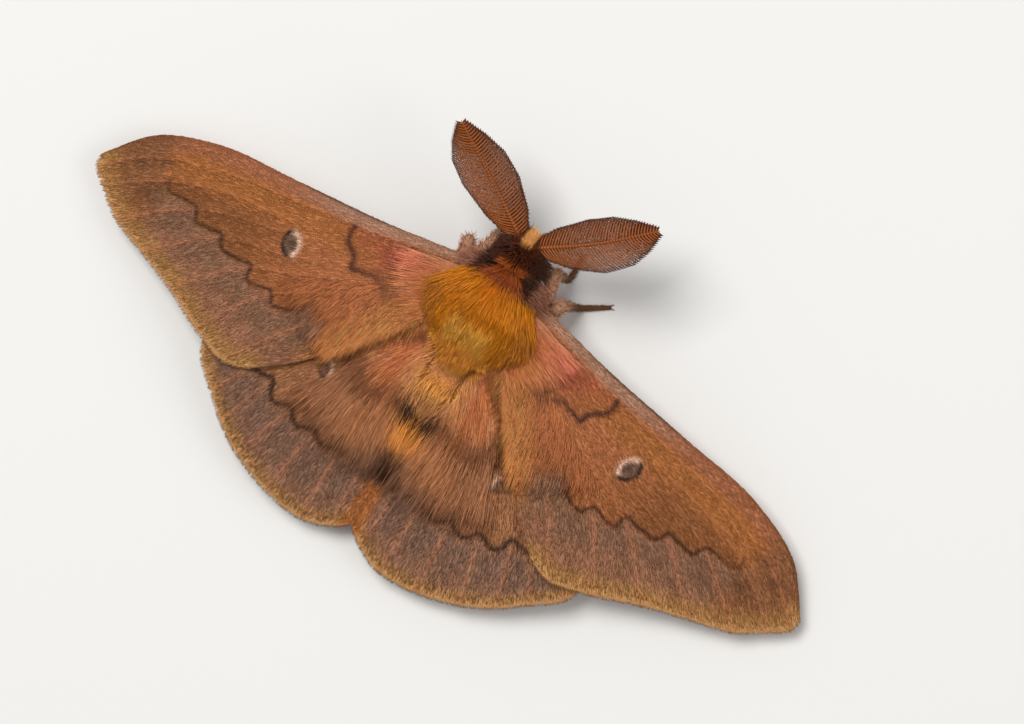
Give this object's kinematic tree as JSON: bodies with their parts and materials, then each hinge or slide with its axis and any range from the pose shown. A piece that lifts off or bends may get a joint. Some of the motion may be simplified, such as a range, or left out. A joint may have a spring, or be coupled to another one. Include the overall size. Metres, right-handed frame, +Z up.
{
  "type": "autumn emperor moth",
  "caption": "Male emperor moth at rest with its wings spread flat: furred body, feathery feelers and four veined wings, standing on its feet.",
  "frame": {"origin": "on the floor, under the middle of the moth's box", "axes": "+X towards the moth's right wing tip, +Y towards its head, +Z up from the surface that it sits on"},
  "size_m": [0.0722, 0.0374, 0.0115],
  "materials": {
    "thorax_fur": "long golden-orange hair",
    "abdomen_fur": "soft peach-orange hair",
    "head_hair": "dark brown hair with a tan tuft",
    "eye": "glossy black facets",
    "feeler": "amber, slightly glossy",
    "forewing_scales": "velvety scales, orange-brown with mauve outer zone",
    "hindwing_scales": "velvety scales, brown-orange with mauve outer zone",
    "leg_hair": "pinkish-brown short hair"
  },
  "bodies": {
    "root": {"head": "head_hair", "eye_left": "eye", "eye_right": "eye", "antenna_left": "feeler", "antenna_right": "feeler", "palp_left": "leg_hair", "palp_right": "leg_hair", "thorax": "thorax_fur", "abdomen": "abdomen_fur", "forewing_left": "forewing_scales", "forewing_right": "forewing_scales", "hindwing_left": "hindwing_scales", "hindwing_right": "hindwing_scales", "leg_front_left": "leg_hair", "leg_front_right": "leg_hair", "leg_mid_left": "leg_hair", "leg_mid_right": "leg_hair", "leg_hind_left": "leg_hair", "leg_hind_right": "leg_hair"}
  },
  "joints": []
}
